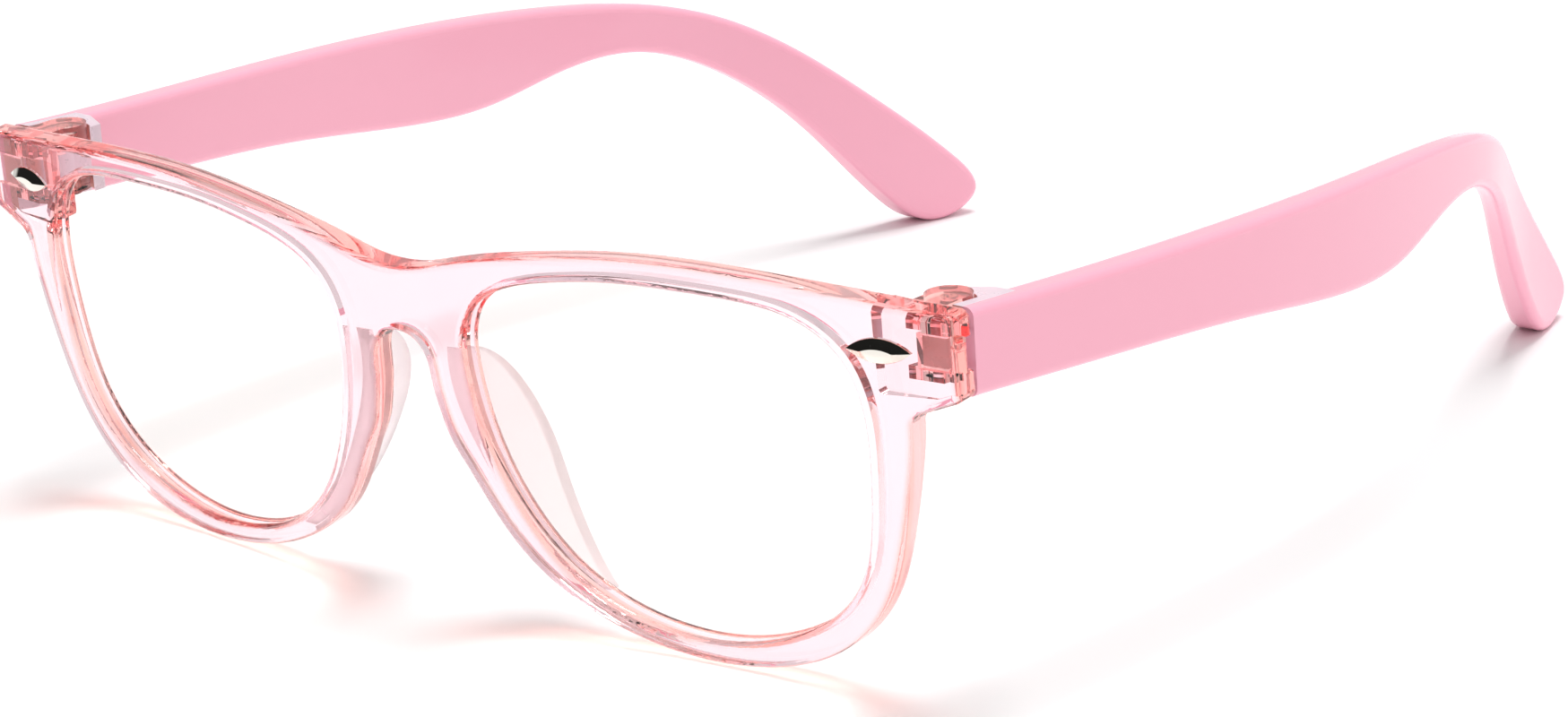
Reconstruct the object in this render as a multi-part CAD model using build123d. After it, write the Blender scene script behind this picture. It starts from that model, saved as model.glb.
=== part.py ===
from build123d import *
import os

# Child-size spectacles with clear lenses, a clear moulded front and two folding temples.
# X is the width, the lenses face -Y, the temples run back along +Y and +Z is up.
# The glasses stand on the bottoms of both rims and on the two temple tips.
# "Left" is the wearer's left, which is +X. The right-hand pieces are mirror images.

# ---------------------------------------------------------------- driving dimensions (mm)
FRONT_RADIUS = 320.0        # the front is a plate bent to a shallow dome
DOME_HEIGHT = -5.0          # height of the dome's centre in the front's own frame
FRONT_THICKNESS = 3.0
FRONT_TILT = 5.8            # degrees that the top of the front leans forward
FRONT_EDGE_ROUND = 0.7
REAR_EDGE_ROUND = 0.6

LENS_DEPTH = 0.95           # front of the rim to front of the lens
LENS_THICKNESS = 1.3
LENS_SEAT = 0.7             # how far the lens reaches into the groove
GROOVE_GAP = 0.05           # air between the lens and the walls of its groove

END_OUTER_X = 65.1          # outer side of the end piece
END_INNER_X = 55.5
END_TOP = 12.0
END_BOTTOM = 3.7
END_REAR_Y = 9.15           # flat rear face that the temple closes against
END_CORNER_ROUND = 0.8

PIN_X = 59.8
PIN_Y = 12.2
PIN_RADIUS = 0.8
PIN_HEAD_RADIUS = 1.3
PIN_HEAD_HEIGHT = 0.5
RUNNING_GAP = 0.05          # radial, between the pin and what turns on it
LUG_RADIUS = 2.3
LUG_NECK = 1.6              # inner side of the neck that joins a lug to the end piece, from the pin
LUG_SLOT_LOW = 33.4         # the slot between the lugs, heights above the table
LUG_SLOT_HIGH = 36.9
LUG_BOTTOM = 32.1
LUG_TOP = 39.1
SLOT_DEPTH = 1.2            # how far the slot cuts into the rear of the end piece
SLOT_INNER_X = 60.0
MOVING_GAP = 0.3            # between the moving temple and the front

TEMPLE_OUTER_X = 64.9
TEMPLE_START_Y = 9.45
TEMPLE_THICKNESS = 3.4
TEMPLE_TOE_OUT = 0.025      # sideways run of the straight part, per mm of length
TEMPLE_EDGE_ROUND = 0.9
SLEEVE_SKIN = 1.3           # opaque skin that covers the outside of the hinge head
HEAD_END_Y = 17.2           # the clear hinge head ends here on the inner side
HEAD_BULGE_X = 57.8
BAR_END_Y = 52.0            # end of the core bar inside the sleeve
BAR_THICKNESS = 1.6
BAR_HEIGHT = 4.0
BAR_FALL = 0.05             # drop of the bar per mm of length, along the temple's middle
TENON_OUTER_X = 63.4

PAD_THICKNESS = 1.8
PAD_FLARE = 0.3             # sideways run of the pad, per mm of depth
PAD_INSET = 0.5             # pad to the nose side of the rim
PAD_SWEEP = 12.0            # deeper than the pad's rear edge

RIVET_X = 57.5
RIVET_Z = 8.3
RIVET_LENGTH = 6.9
RIVET_HEIGHT = 2.5
RIVET_PROUD = 0.55
RIVET_POCKET = 0.4
RIVET_PEG_RADIUS = 0.6
RIVET_PEG_LENGTH = 1.2

REACH = 60.0                # longer than any cut needs
OUTLINE_STEPS = 24          # points that a grown outline is drawn through

# Outlines of the left half of the front, (x, z) in the front's own frame.
TOP_EDGE = [(0, 9.5), (8, 10.9), (17, 12.6), (30, 14.0), (44, 13.8), (END_OUTER_X, END_TOP)]
NOTCH_START = (60.9, 2.2)
RIM_EDGE = [
    (59.7, 0.6), (59.2, -3.0), (57.2, -11.0), (54.4, -17.8), (49.2, -23.2), (42.6, -26.0),
    (34.0, -26.9), (25.0, -25.6), (17.0, -22.3), (11.2, -17.4), (6.6, -10.2), (3.9, -3.2),
]
BRIDGE_ARCH = [(3.9, -3.2), (3.4, 0.6), (0, 2.7)]
LENS_EDGE = [
    (8.6, 1.0), (9.6, -6.3), (12.3, -13.1), (17.9, -19.8), (25.8, -23.6), (34.0, -24.6),
    (44.9, -22.0), (51.3, -17.0), (54.2, -9.0), (54.9, -1.0), (53.7, 5.8), (49.6, 9.6),
    (40.5, 11.4), (28.5, 11.5), (17.0, 9.8), (10.5, 6.6),
]
# Rear edge of the nose pad, (y, z) in the front's own frame.
PAD_REAR_EDGE = [(2.0, 1.8), (6.8, -1.6), (8.6, -8.0), (7.8, -13.5), (6.2, -19.0), (3.2, -25.0)]
# Side view of the temple, (y, z) above the table.
TEMPLE_EDGE = [
    (TEMPLE_START_Y, 39.3), (40, 37.5), (69, 36.0), (90, 34.0), (108.6, 28.8), (123.2, 17.6),
    (133.7, 7.8), (136.6, 3.0), (131.2, 0.2), (125.4, 3.6), (115.9, 15.0), (107, 22.9),
    (97.7, 26.9), (87.3, 26.8), (77.5, 25.0), (66, 25.2), (50, 27.4), (30, 29.3),
    (TEMPLE_START_Y, 30.8),
]
# Plan of the temple: (y, outer x, thickness). It runs out a little, then curves in behind the ear.
TEMPLE_PLAN = [
    (TEMPLE_START_Y, TEMPLE_OUTER_X, TEMPLE_THICKNESS), (40, 66.2, TEMPLE_THICKNESS), (70, 65.1, 3.2),
    (90, 61.3, 2.8), (105, 56.5, 2.6), (118, 50.1, 3.0), (129, 46.0, 3.9), (140, 43.0, 4.3),
]


# ---------------------------------------------------------------- helpers
def front_prism(face):
    """Sweep a face drawn in the front's own X-Z plane from before the front to behind it."""
    return extrude(Plane.XZ.offset(REACH / 2) * face, amount=-REACH)


def dome(depth):
    """Everything deeper than this distance behind the front's surface."""
    return Pos(0, FRONT_RADIUS, DOME_HEIGHT) * Sphere(FRONT_RADIUS - depth)


def dome_layer(face, near, far):
    """The part of a prism between two depths of the dome."""
    return (front_prism(face) & dome(near)) - dome(far)


def stand(shape):
    """Lean the front's own frame forward and put it on the table."""
    return Pos(0, 0, table_height) * Rot(FRONT_TILT, 0, 0) * shape


def box_between(low, high):
    """An axis-aligned box from its lowest to its highest corner."""
    size = [b - a for a, b in zip(low, high)]
    middle = [(a + b) / 2 for a, b in zip(low, high)]
    return Pos(*middle) * Box(*size)


def pin_cylinder(radius, low, high):
    """A cylinder on the hinge axis between two heights."""
    return Pos(PIN_X, PIN_Y, (low + high) / 2) * Cylinder(radius, high - low)


def mirrored(shape):
    return mirror(shape, about=Plane.YZ)


# ---------------------------------------------------------------- outlines of the front
end_side = Line((END_OUTER_X, END_TOP), (END_OUTER_X, END_BOTTOM))
end_floor = Line((END_OUTER_X, END_BOTTOM), NOTCH_START)
end_notch = Spline([NOTCH_START, RIM_EDGE[0]], tangents=[(-2.2, -1), (-0.05, -1)])
top_edge = Spline(TOP_EDGE, tangents=[(1, 0), (1, -0.1)])
rim_edge = Spline(RIM_EDGE, tangents=[(-0.05, -1), (-0.2, 1)])
bridge_arch = Spline(BRIDGE_ARCH, tangents=[(-0.2, 1), (-1, 0)])
centre_line = Line((0, BRIDGE_ARCH[-1][1]), (0, TOP_EDGE[0][1]))
half_front = make_face([top_edge, end_side, end_floor, end_notch, rim_edge, bridge_arch, centre_line])
half_front = fillet(
    half_front.vertices().filter_by(lambda v: v.X > END_OUTER_X - 0.1), END_CORNER_ROUND
)


def grown_opening(amount):
    """The lens opening, grown outwards by this much all round."""
    opening = Spline(LENS_EDGE, periodic=True)
    points = []
    for step in range(OUTLINE_STEPS):
        place = step / OUTLINE_STEPS
        outward = opening.tangent_at(place).rotate(Axis.Z, -90)
        points.append(opening.position_at(place) + outward * amount)
    return make_face(Spline(points, periodic=True))


lens_opening = grown_opening(0)
lens_outline = grown_opening(LENS_SEAT)
groove_outline = grown_opening(LENS_SEAT + GROOVE_GAP)



# ---------------------------------------------------------------- bare front plate
def follows_dome(edge, depth):
    """Whether the edge lies on the dome at this depth, away from the centre line."""
    centre = Vector(0, FRONT_RADIUS, DOME_HEIGHT)
    points = [edge.position_at(place) for place in (0.1, 0.5, 0.9)]
    on_dome = all(abs((point - centre).length - FRONT_RADIUS + depth) < 0.001 for point in points)
    return on_dome and any(point.X > 0.001 for point in points)


def rounded_half():
    """Left half of the plate with its lens opening, with its front and rear edges rounded."""
    half = dome_layer(half_front, 0, FRONT_THICKNESS) - front_prism(lens_opening)
    for depth, radius in ((0, FRONT_EDGE_ROUND), (FRONT_THICKNESS, REAR_EDGE_ROUND)):
        half = fillet([edge for edge in half.edges() if follows_dome(edge, depth)], radius)
    return half


left_half = rounded_half()
plate = left_half + mirrored(left_half)
rim_bottom = (Rot(FRONT_TILT, 0, 0) * plate).bounding_box().min.Z
table_height = -rim_bottom
plate = stand(plate)


def end_piece():
    """The thick end of the front with its flat rear face, the two hinge lugs and the slot."""
    outer_x = END_OUTER_X - 0.5
    corners = [
        (END_INNER_X, END_TOP - 0.3), (outer_x, END_TOP - 0.6), (outer_x, END_BOTTOM + 0.6),
        (61.5, 3.2), (END_INNER_X, 3.2),
    ]
    outline = make_face(Polyline(corners, close=True))
    outline = fillet(outline.vertices(), 0.5)
    flat_rear = box_between((0, -REACH, -REACH), (REACH * 2, END_REAR_Y, REACH * 2))
    block = stand(front_prism(outline) & dome(0.8)) & flat_rear
    neck_low = (PIN_X - LUG_NECK, END_REAR_Y - 1, LUG_BOTTOM)
    lugs = pin_cylinder(LUG_RADIUS, LUG_BOTTOM, LUG_TOP)
    lugs += box_between(neck_low, (PIN_X + LUG_RADIUS, PIN_Y, LUG_TOP))
    slot_low = (SLOT_INNER_X, END_REAR_Y - SLOT_DEPTH, LUG_SLOT_LOW)
    slot = box_between(slot_low, (REACH * 2, REACH, LUG_SLOT_HIGH))
    slot += box_between((0, END_REAR_Y, LUG_SLOT_LOW), (REACH * 2, REACH, LUG_SLOT_HIGH))
    pin_hole = pin_cylinder(PIN_RADIUS + RUNNING_GAP, LUG_BOTTOM - 1, LUG_TOP - 1)
    return block + lugs, slot, pin_hole


def rivet_on_dome():
    """Where the trim sits: the dome's surface at the trim, looking along its outward normal."""
    sag = (RIVET_X**2 + (RIVET_Z - DOME_HEIGHT) ** 2) / (2 * FRONT_RADIUS)
    normal = Vector(RIVET_X, sag - FRONT_RADIUS, RIVET_Z - DOME_HEIGHT).normalized()
    return Plane(origin=(RIVET_X, sag, RIVET_Z), x_dir=Vector(0, 0, 1).cross(normal), z_dir=normal)


def almond(length, height):
    """An eye shape from two equal arcs."""
    half = length / 2
    lower = ThreePointArc((-half, 0), (0, -height / 2), (half, 0))
    upper = ThreePointArc((half, 0), (0, height / 2), (-half, 0))
    return make_face([lower, upper])


# ---------------------------------------------------------------- front frame
end_block, end_slot, end_pin_hole = end_piece()
rivet_plane = rivet_on_dome()
rivet_pocket = extrude(rivet_plane * almond(RIVET_LENGTH, RIVET_HEIGHT), amount=RIVET_POCKET * 4, both=True)
rivet_pocket = stand(rivet_pocket - dome(RIVET_POCKET))
peg_hole_depth = RIVET_POCKET + RIVET_PEG_LENGTH
rivet_peg = Pos(0, 0, -peg_hole_depth / 2) * Cylinder(RIVET_PEG_RADIUS, peg_hole_depth)
rivet_peg = stand(rivet_plane * rivet_peg)

front_frame = plate + end_block + mirrored(end_block)
groove_floor = LENS_DEPTH + LENS_THICKNESS + GROOVE_GAP
groove_cut = stand(dome_layer(groove_outline, LENS_DEPTH - GROOVE_GAP, groove_floor))
for cut in (groove_cut, end_slot, end_pin_hole, rivet_pocket, rivet_peg):
    front_frame = front_frame - cut - mirrored(cut)

# ---------------------------------------------------------------- lenses
left_lens = stand(dome_layer(lens_outline, LENS_DEPTH, LENS_DEPTH + LENS_THICKNESS))
left_lens = chamfer(left_lens.edges().group_by(SortBy.LENGTH)[-1], 0.3)


# ---------------------------------------------------------------- nose pad
def nose_pad():
    """A soft fin on the nose side of the rim, standing back from the plate."""
    nose_side = [point for point in RIM_EDGE if point[0] < 20] + [(3.9, 1.8)]
    near_edge = Spline([(x + PAD_INSET, z) for x, z in nose_side])
    far_edge = Spline([(x + PAD_INSET + PAD_THICKNESS, z) for x, z in nose_side])
    ends = [Line(near_edge @ 1, far_edge @ 1), Line(far_edge @ 0, near_edge @ 0)]
    band = make_face([near_edge, far_edge] + ends)
    fin = extrude(Plane.XZ * band, amount=PAD_SWEEP, dir=(PAD_FLARE, 1, 0))
    rear = Spline(PAD_REAR_EDGE)
    front = Polyline(rear @ 0, (-1, 1.8), (-1, -25), rear @ 1)
    crescent = extrude(Plane.YZ * make_face([rear, front]), amount=REACH)
    return stand(fin & crescent & dome(FRONT_THICKNESS))


left_nose_pad = nose_pad()

# ---------------------------------------------------------------- rivet trim
rivet_face = extrude(almond(RIVET_LENGTH - 0.1, RIVET_HEIGHT - 0.1), amount=RIVET_PROUD, taper=58)
rivet_foot = extrude(almond(RIVET_LENGTH - 0.1, RIVET_HEIGHT - 0.1), amount=-RIVET_POCKET + 0.05)
peg_length = RIVET_POCKET + RIVET_PEG_LENGTH - 0.1
rivet_stem = Pos(0, 0, -peg_length / 2) * Cylinder(RIVET_PEG_RADIUS - 0.03, peg_length)
left_rivet = stand(rivet_plane * (rivet_face + rivet_foot + rivet_stem))


# ---------------------------------------------------------------- temple
def temple_blank():
    """The whole temple: its side view cut from a bent plate, with rounded long edges."""
    outer = Spline([(x, y) for y, x, thickness in TEMPLE_PLAN])
    inner_points = []
    for y, x, thickness in TEMPLE_PLAN:
        inward = outer.tangent_at(outer.param_at_point((x, y))).rotate(Axis.Z, 90)
        inner_points.append(Vector(x, y) + inward * thickness)
    inner = Spline(inner_points)
    ends = [Line(outer @ 0, inner @ 0), Line(outer @ 1, inner @ 1)]
    plan = extrude(make_face([outer, inner] + ends), amount=REACH)
    edge = Spline(TEMPLE_EDGE)
    side_view = make_face([edge, Line(edge @ 1, edge @ 0)])
    blank = plan & extrude(Plane.YZ * side_view, amount=REACH * 2)
    rounded = blank.edges().filter_by(lambda e: e.center().Y > TEMPLE_START_Y + 1)
    return fillet(rounded, TEMPLE_EDGE_ROUND)


blank = temple_blank()
blank = Pos(0, 0, -blank.bounding_box().min.Z) * blank
top = TEMPLE_EDGE[0][1]
bottom = TEMPLE_EDGE[-1][1]


def hinge_head():
    """Clear head of the temple: the part inside the skin, the bulge behind the lugs and the knuckle."""
    skin_x = TEMPLE_OUTER_X - SLEEVE_SKIN
    zone = box_between((0, 0, 0), (skin_x, HEAD_END_Y, REACH))
    bulge_outline = Polyline(
        (skin_x - 1, PIN_Y), (HEAD_BULGE_X, PIN_Y), (HEAD_BULGE_X, HEAD_END_Y - 1.8),
        (TEMPLE_OUTER_X - TEMPLE_THICKNESS - 0.15, HEAD_END_Y), (skin_x - 1, HEAD_END_Y), close=True,
    )
    bulge = Pos(0, 0, bottom + 0.8) * extrude(make_face(bulge_outline), amount=top - bottom - 1.6)
    clear = LUG_RADIUS + MOVING_GAP
    lug_room = pin_cylinder(clear, 0, REACH)
    lug_room += box_between((PIN_X - clear, 0, 0), (PIN_X + clear, PIN_Y, REACH))
    body = (blank & zone) + bulge - lug_room
    low = LUG_SLOT_LOW + MOVING_GAP
    high = LUG_SLOT_HIGH - MOVING_GAP
    knuckle = pin_cylinder(LUG_RADIUS - 0.1, low, high)
    knuckle += box_between((HEAD_BULGE_X, PIN_Y, low), (skin_x - 0.3, PIN_Y + 3, high))
    knuckle += box_between((PIN_X, PIN_Y - 2, low), (skin_x - 0.3, PIN_Y + 3, high))
    tenon_low = (SLOT_INNER_X + MOVING_GAP, END_REAR_Y - SLOT_DEPTH + MOVING_GAP, low)
    tenon = box_between(tenon_low, (TENON_OUTER_X, PIN_Y, high))
    bore = pin_cylinder(PIN_RADIUS + RUNNING_GAP, 0, REACH)
    return body + knuckle + tenon - bore


def core_bar():
    """Stiffening bar of the core, along the middle of the sleeve's straight part."""
    middle_x = TEMPLE_OUTER_X - TEMPLE_THICKNESS / 2
    run = BAR_END_Y - HEAD_END_Y + 1
    along = Vector(TEMPLE_TOE_OUT, 1, -BAR_FALL)
    root = (middle_x + 0.25, HEAD_END_Y - 1, (top + bottom) / 2)
    plane = Plane(origin=root, x_dir=(1, -TEMPLE_TOE_OUT, 0), z_dir=along)
    return extrude(plane * Rectangle(BAR_THICKNESS, BAR_HEIGHT), amount=run)


left_temple_core = hinge_head() + core_bar()
head_room = box_between((0, 0, 0), (TEMPLE_OUTER_X - SLEEVE_SKIN, HEAD_END_Y, REACH))
left_temple_sleeve = blank - head_room - core_bar()

# ---------------------------------------------------------------- hinge pin
left_hinge_pin = pin_cylinder(PIN_RADIUS, LUG_BOTTOM, LUG_TOP - 1.05)
left_hinge_pin += pin_cylinder(PIN_HEAD_RADIUS, LUG_BOTTOM - PIN_HEAD_HEIGHT, LUG_BOTTOM)

# ---------------------------------------------------------------- the set, centred over its base
left_pieces = {
    "lens": left_lens,
    "nose_pad": left_nose_pad,
    "rivet": left_rivet,
    "temple_core": left_temple_core,
    "temple_sleeve": left_temple_sleeve,
    "hinge_pin": left_hinge_pin,
}
pieces = {"front_frame": front_frame}
for name, shape in left_pieces.items():
    pieces["left_" + name] = shape
    pieces["right_" + name] = mirrored(shape)

whole = Compound(children=[Compound(shape.solids()) for shape in pieces.values()]).bounding_box()
centring = Pos(0, -(whole.min.Y + whole.max.Y) / 2, -whole.min.Z)
os.makedirs("parts", exist_ok=True)
for name, shape in pieces.items():
    export_step(Compound(children=(centring * Compound(shape.solids())).solids()), f"parts/{name}.step")
print("size", whole.size, "moved by", centring.position)
print("hinge axis at", (centring * Pos(PIN_X, PIN_Y, 0)).position)
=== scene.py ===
"""Looks of the child-size spectacles: materials, light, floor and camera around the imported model."""
import math

import bpy
from mathutils import Matrix, Vector

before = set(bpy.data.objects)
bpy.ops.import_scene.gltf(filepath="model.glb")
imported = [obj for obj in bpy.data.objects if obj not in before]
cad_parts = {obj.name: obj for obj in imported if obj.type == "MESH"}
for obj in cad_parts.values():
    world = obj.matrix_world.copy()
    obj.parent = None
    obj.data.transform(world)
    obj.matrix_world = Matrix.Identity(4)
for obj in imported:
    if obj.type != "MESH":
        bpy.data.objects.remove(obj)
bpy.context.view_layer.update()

# ---------------------------------------------------------------- driving values (metres, degrees)
CAMERA_PLACE = (0.3714, -0.42453, 0.18836)
CAMERA_AZIMUTH = 42.02              # from straight in front, towards the wearer's left
CAMERA_ELEVATION = 17.76
CAMERA_ROLL = -3.71
CAMERA_LENS = 127.6                 # mm
CAMERA_SENSOR = 36                  # mm
CAMERA_NEAR = 0.01

FLOOR_SIZE = 12.0
FLOOR_WHITE = (0.975, 0.972, 0.970, 1)
FLOOR_ROUGHNESS = 0.9
FLOOR_SHINE = 0.1

LAMP_STRENGTH = 1.90
LAMP_WIDTH = 24.0                   # as seen from the glasses: the wider, the softer the shadows
LAMP_TILT = 9.0                     # from straight above, towards the back of the glasses

ROOM_BRIGHTNESS = 0.74
# The room's dark panel: its darkness against the sine of the height above the horizon, the level
# direction of its middle, and how far a direction may turn from that before the panel fades.
PANEL_HEIGHTS = ((0.0, 0.0), (0.07, 0.0), (0.13, 0.98), (0.60, 0.98), (0.70, 0.0))
PANEL_MIDDLE = (-0.67, -0.74, 0.0)
PANEL_FADE = (0.22, 0.34)

LIGHT_BOUNCES = 32                  # enough for light to get out of the clear plastic again

# Share of a direction that points forwards or back: below the first it is a wall, above the second a face.
WALL_TO_FACE = (0.45, 0.93)
CLOUD_RANGE = (0.3, 0.7)            # the part of a cloudy pattern that is stretched to its full range

# Clear plastic: how fine its cloudy patterns are (per metre), its roughness, and how fine, high and
# strong its waviness is.
FACE_CLOUDS = 90.0
WALL_CLOUDS = 160.0
GLOSS_CLOUDS = 240.0
CLEAR_ROUGHNESS = (0.0, 0.035)
CLEAR_WAVES = (110.0, 0.0002, 0.10)

# Solid finishes: how many times finer the clouds in the gloss are than those in the colour, and
# their detail.
GLOSS_FINER = 3
GLOSS_DETAIL = 4.0

# Where a colour mix node keeps its two colours and its result.
MIX_FIRST, MIX_SECOND, MIX_RESULT = 6, 7, 2


# ---------------------------------------------------------------- camera
def add_camera():
    """A camera with no shift, given by its place, its direction and its roll."""
    azimuth, elevation, roll = (math.radians(v) for v in (CAMERA_AZIMUTH, CAMERA_ELEVATION, CAMERA_ROLL))
    level = math.cos(elevation)
    towards = Vector((math.sin(azimuth) * level, -math.cos(azimuth) * level, math.sin(elevation)))
    level_right = Vector((math.cos(azimuth), math.sin(azimuth), 0))
    level_up = towards.cross(level_right)
    right = level_right * math.cos(roll) + level_up * math.sin(roll)
    up = towards.cross(right)
    data = bpy.data.cameras.new("camera")
    data.lens = CAMERA_LENS
    data.sensor_width = CAMERA_SENSOR
    data.clip_start = CAMERA_NEAR
    camera = bpy.data.objects.new("camera", data)
    turn = Matrix((right, up, towards)).transposed().to_4x4()
    camera.matrix_world = Matrix.Translation(CAMERA_PLACE) @ turn
    bpy.context.scene.collection.objects.link(camera)
    bpy.context.scene.camera = camera


# ---------------------------------------------------------------- shader nodes
class Tree:
    """Short way to add and join the shader nodes of a material or a world."""

    def __init__(self, owner):
        owner.use_nodes = True
        self.nodes = owner.node_tree.nodes
        self.links = owner.node_tree.links
        self.place = self.nodes.new("ShaderNodeTexCoord").outputs

    def feed(self, node, inputs):
        """Give each input, by name or number, a plain value or another node's output."""
        for name, value in inputs.items():
            if isinstance(value, bpy.types.NodeSocket):
                self.links.new(value, node.inputs[name])
            else:
                node.inputs[name].default_value = value

    def add(self, kind, inputs=None, **settings):
        node = self.nodes.new(kind)
        for name, setting in settings.items():
            setattr(node, name, setting)
        self.feed(node, inputs or {})
        return node

    def cloud(self, scale, detail=2.0):
        """Cloudy pattern, fixed to the piece."""
        inputs = {"Scale": scale, "Detail": detail, "Vector": self.place["Object"]}
        return self.add("ShaderNodeTexNoise", inputs).outputs["Fac"]

    def spread(self, source, low, high, span=CLOUD_RANGE):
        """Map a span of a pattern smoothly to values from low to high."""
        inputs = {"Value": source, "From Min": span[0], "From Max": span[1], "To Min": low, "To Max": high}
        return self.add("ShaderNodeMapRange", inputs, interpolation_type="SMOOTHSTEP").outputs["Result"]

    def blend(self, share, first, second):
        """Mix two colours."""
        inputs = {"Factor": share, MIX_FIRST: first, MIX_SECOND: second}
        return self.add("ShaderNodeMix", inputs, data_type="RGBA").outputs[MIX_RESULT]

    def cloudy(self, scale, colours):
        """A colour that varies between two in a cloudy pattern."""
        return self.blend(self.spread(self.cloud(scale), 0.0, 1.0), *colours)

    def wall_share(self):
        """0 on faces that look forwards or back, 1 on the walls between them."""
        split = self.add("ShaderNodeSeparateXYZ", {"Vector": self.place["Normal"]})
        depth = self.add("ShaderNodeMath", {0: split.outputs["Y"]}, operation="ABSOLUTE")
        return self.spread(depth.outputs["Value"], 1.0, 0.0, WALL_TO_FACE)

    def waves(self, scale, height, strength):
        """Slight waviness of a moulded surface."""
        inputs = {"Strength": strength, "Distance": height, "Height": self.cloud(scale)}
        return self.add("ShaderNodeBump", inputs).outputs["Normal"]


# ---------------------------------------------------------------- stage and light
def add_floor():
    bpy.ops.mesh.primitive_plane_add(size=FLOOR_SIZE)
    floor = bpy.context.object
    floor.name = "floor"
    material = bpy.data.materials.new("floor_white")
    tree = Tree(material)
    shine = {"Base Color": FLOOR_WHITE, "Roughness": FLOOR_ROUGHNESS, "Specular IOR Level": FLOOR_SHINE}
    tree.feed(tree.nodes["Principled BSDF"], shine)
    floor.data.materials.append(material)


def add_lamp():
    """A wide soft light over the table."""
    data = bpy.data.lights.new("overhead", "SUN")
    data.energy = LAMP_STRENGTH
    data.angle = math.radians(LAMP_WIDTH)
    lamp = bpy.data.objects.new("overhead", data)
    lamp.rotation_euler = (-math.radians(LAMP_TILT), 0, 0)
    bpy.context.scene.collection.objects.link(lamp)


def add_room():
    """A white room with one dark panel above the horizon, which polished surfaces mirror."""
    world = bpy.data.worlds.new("studio")
    tree = Tree(world)
    direction = tree.place["Generated"]
    rise = tree.add("ShaderNodeSeparateXYZ", {"Vector": direction}).outputs["Z"]
    height = tree.add("ShaderNodeValToRGB", {"Fac": rise})
    stops = height.color_ramp.elements
    while len(stops) < len(PANEL_HEIGHTS):
        stops.new(1.0)
    for stop, (position, darkness) in zip(stops, PANEL_HEIGHTS):
        stop.position = position
        stop.color = (darkness, darkness, darkness, 1)
    side = tree.add("ShaderNodeVectorMath", {0: direction, 1: PANEL_MIDDLE}, operation="DOT_PRODUCT")
    fade = {"Value": side.outputs["Value"], "From Min": PANEL_FADE[0], "From Max": PANEL_FADE[1]}
    width = tree.add("ShaderNodeMapRange", fade).outputs["Result"]
    panel = tree.add("ShaderNodeMath", {0: height.outputs["Color"], 1: width}, operation="MULTIPLY")
    light = tree.add("ShaderNodeMath", {0: 1.0, 1: panel.outputs["Value"]}, operation="SUBTRACT")
    tree.feed(tree.nodes["Background"], {"Color": light.outputs["Value"], "Strength": ROOM_BRIGHTNESS})
    bpy.context.scene.world = world


# ---------------------------------------------------------------- finishes
def clear_plastic(name, faces, shadow, ior, walls=None, depth=None):
    """Clear moulded plastic with a coloured shadow.

    faces and walls are the two colours that each varies between, and depth is the colour and
    density of the tint inside. The walls' colours are painted depth shade: the deeper coral that
    light shows after a longer path through the plastic, put on the walls by their direction.
    """
    material = bpy.data.materials.new(name)
    tree = Tree(material)
    colour = tree.cloudy(FACE_CLOUDS, faces)
    # painted depth shade: the walls get the deeper coral of light that has gone a longer way through the
    # plastic
    if walls:
        colour = tree.blend(tree.wall_share(), colour, tree.cloudy(WALL_CLOUDS, walls))
    shader = tree.nodes["Principled BSDF"]
    tree.feed(shader, {
        "Base Color": colour, "Roughness": tree.spread(tree.cloud(GLOSS_CLOUDS), *CLEAR_ROUGHNESS),
        "IOR": ior, "Transmission Weight": 1.0, "Normal": tree.waves(*CLEAR_WAVES),
    })
    output = tree.nodes["Material Output"]
    if depth:
        tint = tree.add("ShaderNodeVolumeAbsorption", {"Color": depth[0], "Density": depth[1]})
        tree.feed(output, {"Volume": tint.outputs["Volume"]})
    clear = tree.add("ShaderNodeBsdfTransparent", {"Color": shadow}).outputs["BSDF"]
    is_shadow = tree.add("ShaderNodeLightPath").outputs["Is Shadow Ray"]
    shown = tree.add("ShaderNodeMixShader", {"Fac": is_shadow, 1: shader.outputs["BSDF"], 2: clear})
    tree.feed(output, {"Surface": shown.outputs["Shader"]})
    return material


def solid_finish(name, colours, scale, roughness, waves, ends=None, **inputs):
    """Opaque or milky finish.

    It varies between two colours and two roughnesses in clouds. waves says how fine, high and
    strong its waviness is, and ends is the colour of what looks forwards or back. The other values
    go to the shader's own inputs.
    """
    material = bpy.data.materials.new(name)
    tree = Tree(material)
    colour = tree.cloudy(scale, colours)
    if ends:
        colour = tree.blend(tree.wall_share(), ends, colour)
    gloss = tree.cloud(scale * GLOSS_FINER, GLOSS_DETAIL)
    shader = tree.nodes["Principled BSDF"]
    tree.feed(shader, {
        "Base Color": colour, "Roughness": tree.spread(gloss, *roughness), "Normal": tree.waves(*waves),
    })
    tree.feed(shader, {key.replace("_", " "): value for key, value in inputs.items()})
    return material


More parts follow.
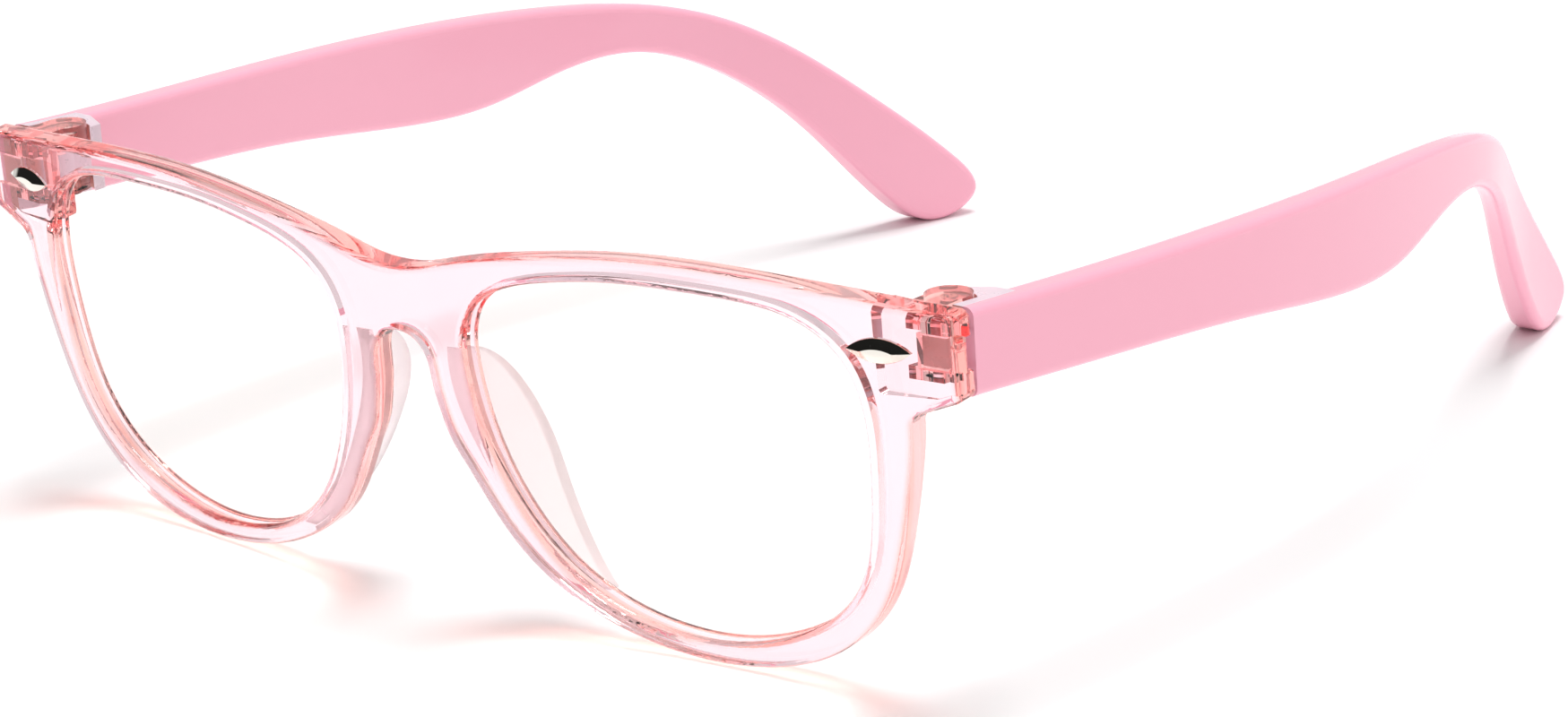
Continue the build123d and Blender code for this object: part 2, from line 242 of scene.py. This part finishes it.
def make_finishes():
    """Each finish by the kind of piece that has it."""
    # the walls colours of clear_pink are painted depth shade, the deeper coral of a longer light path through
    # the plastic
    clear_pink = clear_plastic(
        "clear_pink", faces=((1.0, 0.895, 0.950, 1), (1.0, 0.875, 0.940, 1)),
        walls=((1.0, 0.66, 0.60, 1), (1.0, 0.58, 0.54, 1)), depth=((1.0, 0.50, 0.50, 1), 70.0),
        shadow=(0.74, 0.56, 0.52, 1), ior=1.46,
    )
    lens = clear_plastic(
        "lens", faces=((1.0, 0.992, 0.975, 1), (1.0, 0.988, 0.968, 1)), shadow=(1, 0.99, 0.97, 1), ior=1.04,
    )
    milky_pink = solid_finish(
        "milky_pink", ((1.0, 0.83, 0.92, 1), (1.0, 0.79, 0.89, 1)), scale=150.0, roughness=(0.25, 0.35),
        waves=(500.0, 0.00003, 0.05), ends=(1.0, 0.52, 0.46, 1), IOR=1.30, Transmission_Weight=0.25,
    )
    soft_pad = solid_finish(
        "soft_pad", ((1.0, 0.925, 0.935, 1), (1.0, 0.90, 0.915, 1)), scale=120.0, roughness=(0.35, 0.5),
        waves=(400.0, 0.0001, 0.10), IOR=1.30, Transmission_Weight=0.85,
    )
    pink_plastic = solid_finish(
        "pink_plastic", ((0.965, 0.435, 0.560, 1), (0.960, 0.420, 0.545, 1)), scale=14.0,
        roughness=(0.20, 0.25), waves=(1600.0, 0.00001, 0.08), IOR=1.5, Coat_Weight=0.35, Coat_Roughness=0.06,
    )
    polished_metal = solid_finish(
        "polished_metal", ((0.86, 0.83, 0.76, 1), (0.80, 0.77, 0.71, 1)), scale=300.0,
        roughness=(0.04, 0.09), waves=(900.0, 0.00005, 0.05), Metallic=1.0,
    )
    return {
        "front_frame": clear_pink, "hinge_pin": clear_pink, "lens": lens, "nose_pad": soft_pad,
        "rivet": polished_metal, "temple_core": milky_pink, "temple_sleeve": pink_plastic,
    }


def dress(finishes):
    """Give each CAD node its finish, left and right alike."""
    for name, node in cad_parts.items():
        kind = name.removeprefix("left_").removeprefix("right_")
        for slot in node.material_slots:
            slot.material = finishes[kind]


# ---------------------------------------------------------------- scene
scene = bpy.context.scene
scene.view_settings.view_transform = "Standard"
scene.cycles.max_bounces = LIGHT_BOUNCES
scene.cycles.transmission_bounces = LIGHT_BOUNCES
scene.cycles.glossy_bounces = LIGHT_BOUNCES
scene.cycles.transparent_max_bounces = LIGHT_BOUNCES
add_camera()
add_floor()
add_room()
add_lamp()
dress(make_finishes())
